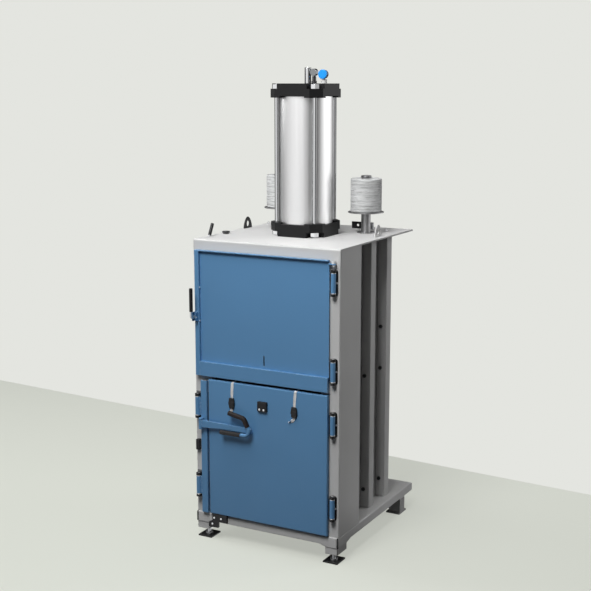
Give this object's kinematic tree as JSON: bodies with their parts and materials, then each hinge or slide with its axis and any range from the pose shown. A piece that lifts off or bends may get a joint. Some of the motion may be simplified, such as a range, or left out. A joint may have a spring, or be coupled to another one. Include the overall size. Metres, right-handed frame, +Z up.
{
  "type": "recycling baler",
  "caption": "Vertical recycling baler: a grey steel cabinet with blue upper and lower doors, a roof-mounted air cylinder with tie rods, twine rolls, latch and lock lever.",
  "frame": {"origin": "on the floor, under the middle of the bounding box, which is 4.5 mm in front of the cylinder axis", "axes": "+Z up, -Y out of the doors, +X to the hinge side (right, seen from the front)"},
  "size_m": [0.82, 1.009, 2.409],
  "materials": {
    "light_steel": "satin light grey paint",
    "dark_steel": "plain dark grey steel",
    "blue_paint": "satin blue paint",
    "black_paint": "black paint",
    "zinc": "zinc plated",
    "black_alloy": "black anodised",
    "cylinder_alloy": "machined and anodised",
    "chrome": "chromed",
    "bronze": "turned bronze",
    "black_rubber": "moulded",
    "black_plastic": "moulded",
    "grey_plastic": "moulded",
    "blue_plastic": "moulded",
    "brown_grip": "dipped sleeve",
    "white_strap": "woven strap",
    "twine": "wound twine"
  },
  "bodies": {
    "cabinet": {"base_frame": "light_steel", "side_frame_left": "light_steel", "side_frame_right": "light_steel", "rear_frame": "light_steel", "front_column_left": "light_steel", "front_column_right": "light_steel", "top_plate": "light_steel", "levelling_feet": "black_paint", "hinge_leaves": "black_paint", "door_rest": "black_paint", "spool_post_left": "black_paint", "spool_post_right": "black_paint", "twine_guides": "black_paint", "lifting_eyes": "black_paint", "foot_nuts": "zinc", "tie_rod_nuts": "zinc", "spool_caps": "zinc", "body_fasteners": "zinc", "hinge_pins": "zinc", "tie_rods": "zinc", "cylinder_bottom_cap": "black_alloy", "cylinder_top_cap": "black_alloy", "cylinder_barrel": "cylinder_alloy", "air_fitting": "cylinder_alloy", "exhaust_tube": "chrome", "ram_bush": "bronze", "cylinder_seals": "black_rubber", "door_sensor": "black_plastic", "valve_body": "black_plastic", "button_collar": "black_plastic"},
    "upper_door": {"upper_door_panel": "blue_paint", "upper_door_frame": "blue_paint", "upper_door_liner": "dark_steel", "latch_bracket": "blue_paint", "upper_door_fasteners": "zinc"},
    "latch": {"latch_lever": "cylinder_alloy", "latch_grip": "black_plastic"},
    "lower_door": {"lower_door_panel": "blue_paint", "lower_door_back": "dark_steel", "band_cleats": "black_plastic", "bands": "white_strap", "door_box": "black_plastic", "strip_hinge_leaves": "black_paint", "strip_hinge_pins": "zinc", "lower_door_fasteners": "zinc"},
    "strip": {"lock_strip": "blue_paint"},
    "lever": {"lock_lever": "blue_paint", "lever_grip": "grey_plastic", "lever_sleeve": "brown_grip"},
    "ram": {"piston": "cylinder_alloy", "piston_seals": "black_rubber", "piston_rod": "chrome", "platen": "dark_steel", "ram_fasteners": "zinc"},
    "roll_left": {"twine_roll_left": "twine"},
    "roll_right": {"twine_roll_right": "twine"},
    "control": {"control_lever": "cylinder_alloy", "control_grip": "black_plastic"},
    "button": {"push_button": "grey_plastic"},
    "knob": {"valve_knob": "blue_plastic"}
  },
  "joints": [
    {"name": "upper_door_hinge", "type": "hinge", "parent": "cabinet", "child": "upper_door", "pos_m": [0.382, -0.4365, 1.19], "axis": [0, 0, 1], "range_deg": [0, 110]},
    {"name": "upper_latch", "type": "hinge", "parent": "upper_door", "child": "latch", "pos_m": [-0.381, -0.4645, 1.176], "axis": [1, 0, 0], "range_deg": [0, 90]},
    {"name": "lower_door_hinge", "type": "hinge", "parent": "cabinet", "child": "lower_door", "pos_m": [0.382, -0.4365, 0.5], "axis": [0, 0, 1], "range_deg": [0, 110]},
    {"name": "lock_strip_hinge", "type": "hinge", "parent": "lower_door", "child": "strip", "pos_m": [-0.385, -0.4425, 0.5], "axis": [0, 0, 1], "range_deg": [-60, 0]},
    {"name": "lock_lever_hinge", "type": "hinge", "parent": "strip", "child": "lever", "pos_m": [-0.356, -0.4625, 0.626], "axis": [0, 0, 1], "range_deg": [-100, 0]},
    {"name": "ram_slide", "type": "slide", "parent": "cabinet", "child": "ram", "axis": [0, 0, -1], "range_m": [0, 0.54]},
    {"name": "left_roll_spin", "type": "hinge", "parent": "cabinet", "child": "roll_left", "pos_m": [-0.25, 0.2015, 1.755], "axis": [0, 0, 1], "continuous": true},
    {"name": "right_roll_spin", "type": "hinge", "parent": "cabinet", "child": "roll_right", "pos_m": [0.25, 0.2015, 1.755], "axis": [0, 0, 1], "continuous": true},
    {"name": "control_lever_hinge", "type": "hinge", "parent": "cabinet", "child": "control", "pos_m": [-0.3815, -0.333, 1.538], "axis": [1, 0, 0], "range_deg": [0, 54]},
    {"name": "button_press", "type": "slide", "parent": "cabinet", "child": "button", "axis": [0, 0, -1], "range_m": [0, 0.004], "stiffness_N_per_m": 300, "springref_m": -0.003},
    {"name": "valve_knob_turn", "type": "hinge", "parent": "cabinet", "child": "knob", "pos_m": [0.103, 0.0045, 2.375], "axis": [0, -1, 0], "range_deg": [0, 90]}
  ]
}
